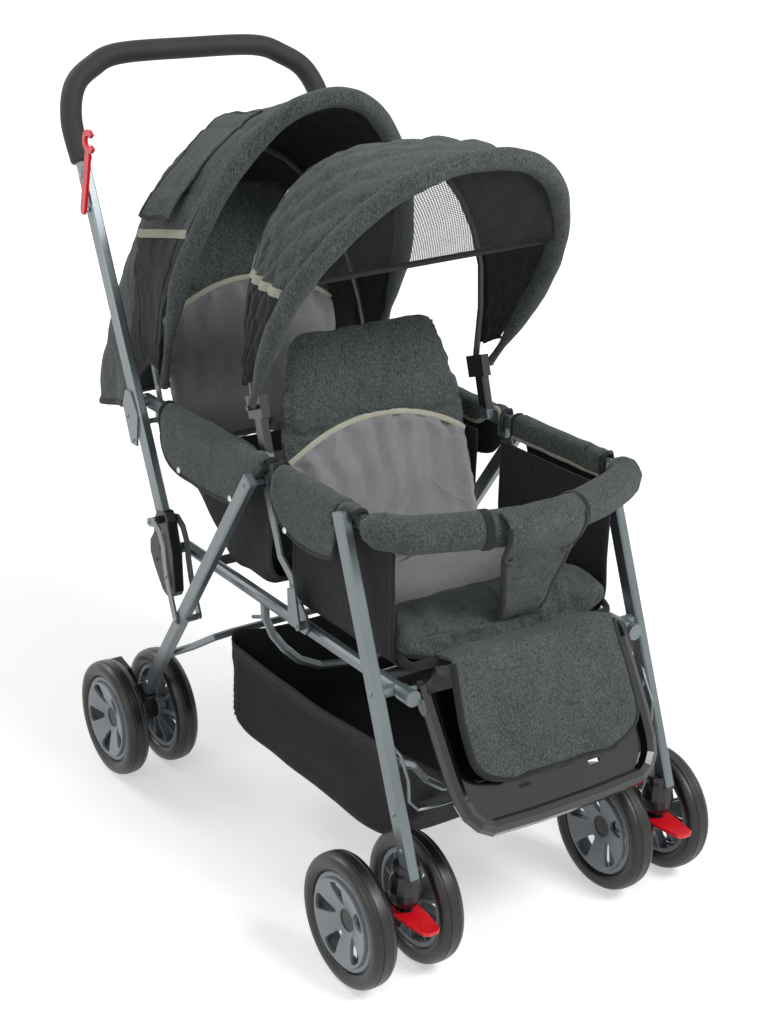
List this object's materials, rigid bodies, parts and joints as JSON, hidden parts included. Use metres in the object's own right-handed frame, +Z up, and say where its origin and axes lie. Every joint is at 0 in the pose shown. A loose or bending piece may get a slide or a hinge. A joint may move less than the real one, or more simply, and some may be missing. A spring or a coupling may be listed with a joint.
{
  "type": "tandem pushchair",
  "caption": "Folding tandem pushchair: two seats one behind the other, each with a canopy, a shared push bar, a basket, swivelling front wheels and braked rear wheels.",
  "frame": {"origin": "centre of the bounding box, on the floor under the wheels", "axes": "+X to the child's left, -Y the way the children face, +Z up"},
  "size_m": [0.5554, 1.0182, 1.0458],
  "materials": {
    "frame_grey": "grey-green powder coat, satin",
    "black_plastic": "moulded, satin",
    "gloss_black": "polished moulding",
    "brown_plastic": "moulded, satin",
    "red_plastic": "bright moulding",
    "grip_foam": "fine foam",
    "green_cloth": "heathered weave",
    "black_cloth": "plain weave",
    "black_mesh": "open mesh",
    "tyre_rubber": "smooth, slight sheen",
    "wheel_grey": "moulded blue-grey"
  },
  "bodies": {
    "seat_base": {"seat_frame": "frame_grey", "front_tub": "black_cloth", "rear_tub": "black_cloth", "front_cushion": "green_cloth", "rear_cushion": "green_cloth", "front_apron": "green_cloth", "basket": "black_mesh"},
    "footrest_tray": {"footrest": "gloss_black"},
    "front_seat_back": {"front_backrest": "green_cloth"},
    "rear_seat_back": {"rear_backrest": "green_cloth"},
    "bar": {"push_bar": "frame_grey", "handle_grip": "grip_foam", "bar_foot_R": "black_plastic", "bar_foot_L": "black_plastic"},
    "hook": {"fold_hook": "red_plastic"},
    "rear_canopy_middle": {"rear_canopy_mid_bow": "frame_grey", "rear_canopy_cloth": "green_cloth"},
    "rear_canopy_front": {"rear_canopy_rim": "green_cloth"},
    "front_legs": {"front_frame": "frame_grey", "caster_socket_R": "black_plastic", "caster_socket_L": "black_plastic"},
    "armrests": {"armrest_frame": "frame_grey", "armrest_pad_R": "green_cloth", "armrest_pad_L": "green_cloth", "front_canopy_cloth": "green_cloth"},
    "bumper": {"bumper_bar": "green_cloth", "crotch_panel": "green_cloth"},
    "front_canopy": {"front_canopy_rim": "green_cloth", "front_canopy_visor": "black_mesh"},
    "mid_links": {"mid_link_R": "frame_grey", "mid_link_L": "frame_grey"},
    "rear_legs": {"rear_frame": "frame_grey", "axle_housing_R": "black_plastic", "axle_housing_L": "black_plastic"},
    "rear_links": {"rear_link_R": "frame_grey", "rear_link_L": "frame_grey"},
    "lock_R": {"lock_plate_R": "brown_plastic"},
    "caster_R": {"caster_fork_R": "black_plastic"},
    "swivel_lever_R": {"swivel_lock_R": "red_plastic"},
    "brake_R": {"brake_lever_R": "black_plastic"},
    "wheel_set_front_inner_R": {"tyre_front_inner_R": "tyre_rubber", "wheel_front_inner_R": "wheel_grey"},
    "wheel_set_front_outer_R": {"tyre_front_outer_R": "tyre_rubber", "wheel_front_outer_R": "wheel_grey"},
    "wheel_set_rear_inner_R": {"tyre_rear_inner_R": "tyre_rubber", "wheel_rear_inner_R": "wheel_grey"},
    "wheel_set_rear_outer_R": {"tyre_rear_outer_R": "tyre_rubber", "wheel_rear_outer_R": "wheel_grey"},
    "lock_L": {"lock_plate_L": "brown_plastic"},
    "caster_L": {"caster_fork_L": "black_plastic"},
    "swivel_lever_L": {"swivel_lock_L": "red_plastic"},
    "brake_L": {"brake_lever_L": "black_plastic"},
    "wheel_set_front_inner_L": {"tyre_front_inner_L": "tyre_rubber", "wheel_front_inner_L": "wheel_grey"},
    "wheel_set_front_outer_L": {"tyre_front_outer_L": "tyre_rubber", "wheel_front_outer_L": "wheel_grey"},
    "wheel_set_rear_inner_L": {"tyre_rear_inner_L": "tyre_rubber", "wheel_rear_inner_L": "wheel_grey"},
    "wheel_set_rear_outer_L": {"tyre_rear_outer_L": "tyre_rubber", "wheel_rear_outer_L": "wheel_grey"}
  },
  "joints": [
    {"name": "fold", "type": "hinge", "parent": "seat_base", "child": "bar", "pos_m": [0, 0.1556, 0.375], "axis": [1, 0, 0], "range_deg": [0, 60], "deforming": ["basket", "armrest_pad_R", "armrest_pad_L"]},
    {"name": "front_leg_fold", "type": "hinge", "parent": "seat_base", "child": "front_legs", "pos_m": [0, -0.3749, 0.375], "axis": [1, 0, 0], "range_deg": [0, 60]},
    {"name": "armrest_fold", "type": "hinge", "parent": "front_legs", "child": "armrests", "pos_m": [0, -0.2979, 0.575], "axis": [1, 0, 0], "range_deg": [-60, 0]},
    {"name": "mid_link_fold", "type": "hinge", "parent": "seat_base", "child": "mid_links", "pos_m": [0, -0.1804, 0.385], "axis": [1, 0, 0], "range_deg": [0, 67.8]},
    {"name": "rear_leg_fold", "type": "hinge", "parent": "armrests", "child": "rear_legs", "pos_m": [0, -0.1004, 0.559], "axis": [1, 0, 0], "range_deg": [0, 26.7]},
    {"name": "rear_link_fold", "type": "hinge", "parent": "rear_legs", "child": "rear_links", "pos_m": [0, 0.0921, 0.2954], "axis": [1, 0, 0], "range_deg": [-75.7, 0]},
    {"name": "rear_canopy_fold", "type": "hinge", "parent": "bar", "child": "rear_canopy_middle", "pos_m": [0, 0.2156, 0.575], "axis": [1, 0, 0], "range_deg": [-54, 0], "deforming": ["rear_canopy_cloth"]},
    {"name": "rear_canopy_close", "type": "hinge", "parent": "rear_canopy_middle", "child": "rear_canopy_front", "pos_m": [0, 0.2156, 0.575], "axis": [-1, 0, 0], "range_deg": [0, 13]},
    {"name": "front_canopy_close", "type": "hinge", "parent": "armrests", "child": "front_canopy", "pos_m": [0, -0.0594, 0.645], "axis": [-1, 0, 0], "range_deg": [0, 24], "deforming": ["front_canopy_cloth"]},
    {"name": "footrest_lift", "type": "hinge", "parent": "seat_base", "child": "footrest_tray", "pos_m": [0, -0.3984, 0.382], "axis": [-1, 0, 0], "range_deg": [0, 50], "deforming": ["front_apron"]},
    {"name": "front_recline", "type": "hinge", "parent": "seat_base", "child": "front_seat_back", "pos_m": [0, -0.1284, 0.402], "axis": [-1, 0, 0], "range_deg": [-10, 16]},
    {"name": "rear_recline", "type": "hinge", "parent": "seat_base", "child": "rear_seat_back", "pos_m": [0, 0.2139, 0.4985], "axis": [-1, 0, 0], "range_deg": [-10, 8]},
    {"name": "bumper_pull", "type": "slide", "parent": "armrests", "child": "bumper", "axis": [0, -1, 0], "range_m": [0, 0.045], "deforming": ["crotch_panel"]},
    {"name": "hook_swing", "type": "hinge", "parent": "bar", "child": "hook", "pos_m": [-0.2212, 0.3546, 0.829], "axis": [1, 0, 0], "range_deg": [0, 120]},
    {"name": "fold_lock_R", "type": "hinge", "parent": "bar", "child": "lock_R", "pos_m": [-0.216, 0.1586, 0.383], "axis": [1, 0, 0], "range_deg": [0, 12], "stiffness_Nm_per_rad": 0.4},
    {"name": "caster_swivel_R", "type": "hinge", "parent": "front_legs", "child": "caster_R", "pos_m": [-0.2047, -0.4434, 0.11], "axis": [0, 0, 1], "continuous": true},
    {"name": "swivel_lock_R", "type": "hinge", "parent": "caster_R", "child": "swivel_lever_R", "pos_m": [-0.2047, -0.4304, 0.1098], "axis": [1, 0, 0], "range_deg": [0, 8]},
    {"name": "brake_R", "type": "hinge", "parent": "rear_legs", "child": "brake_R", "pos_m": [-0.2205, 0.2656, 0.117], "axis": [-1, 0, 0], "range_deg": [0, 14]},
    {"name": "spin_front_inner_R", "type": "hinge", "parent": "caster_R", "child": "wheel_set_front_inner_R", "pos_m": [-0.155, -0.3964, 0.0875], "axis": [1, 0, 0], "continuous": true},
    {"name": "spin_front_outer_R", "type": "hinge", "parent": "caster_R", "child": "wheel_set_front_outer_R", "pos_m": [-0.2544, -0.3964, 0.0875], "axis": [1, 0, 0], "continuous": true},
    {"name": "spin_rear_inner_R", "type": "hinge", "parent": "rear_legs", "child": "wheel_set_rear_inner_R", "pos_m": [-0.18, 0.2396, 0.0875], "axis": [1, 0, 0], "continuous": true},
    {"name": "spin_rear_outer_R", "type": "hinge", "parent": "rear_legs", "child": "wheel_set_rear_outer_R", "pos_m": [-0.261, 0.2396, 0.0875], "axis": [1, 0, 0], "continuous": true},
    {"name": "fold_lock_L", "type": "hinge", "parent": "bar", "child": "lock_L", "pos_m": [0.216, 0.1586, 0.383], "axis": [1, 0, 0], "range_deg": [0, 12], "stiffness_Nm_per_rad": 0.4},
    {"name": "caster_swivel_L", "type": "hinge", "parent": "front_legs", "child": "caster_L", "pos_m": [0.2047, -0.4434, 0.11], "axis": [0, 0, 1], "continuous": true},
    {"name": "swivel_lock_L", "type": "hinge", "parent": "caster_L", "child": "swivel_lever_L", "pos_m": [0.2047, -0.4304, 0.1098], "axis": [1, 0, 0], "range_deg": [0, 8]},
    {"name": "brake_L", "type": "hinge", "parent": "rear_legs", "child": "brake_L", "pos_m": [0.2205, 0.2656, 0.117], "axis": [-1, 0, 0], "range_deg": [0, 14]},
    {"name": "spin_front_inner_L", "type": "hinge", "parent": "caster_L", "child": "wheel_set_front_inner_L", "pos_m": [0.155, -0.3964, 0.0875], "axis": [1, 0, 0], "continuous": true},
    {"name": "spin_front_outer_L", "type": "hinge", "parent": "caster_L", "child": "wheel_set_front_outer_L", "pos_m": [0.2544, -0.3964, 0.0875], "axis": [1, 0, 0], "continuous": true},
    {"name": "spin_rear_inner_L", "type": "hinge", "parent": "rear_legs", "child": "wheel_set_rear_inner_L", "pos_m": [0.18, 0.2396, 0.0875], "axis": [1, 0, 0], "continuous": true},
    {"name": "spin_rear_outer_L", "type": "hinge", "parent": "rear_legs", "child": "wheel_set_rear_outer_L", "pos_m": [0.261, 0.2396, 0.0875], "axis": [1, 0, 0], "continuous": true}
  ],
  "couplings": [
    {"joint": "front_leg_fold", "follows": "fold", "ratio": 1},
    {"joint": "armrest_fold", "follows": "fold", "ratio": -1},
    {"joint": "mid_link_fold", "follows": "fold", "ratio": 1.1296},
    {"joint": "rear_leg_fold", "follows": "fold", "ratio": 0.444},
    {"joint": "rear_link_fold", "follows": "fold", "ratio": -1.26},
    {"joint": "rear_canopy_fold", "follows": "fold", "ratio": -0.9}
  ]
}
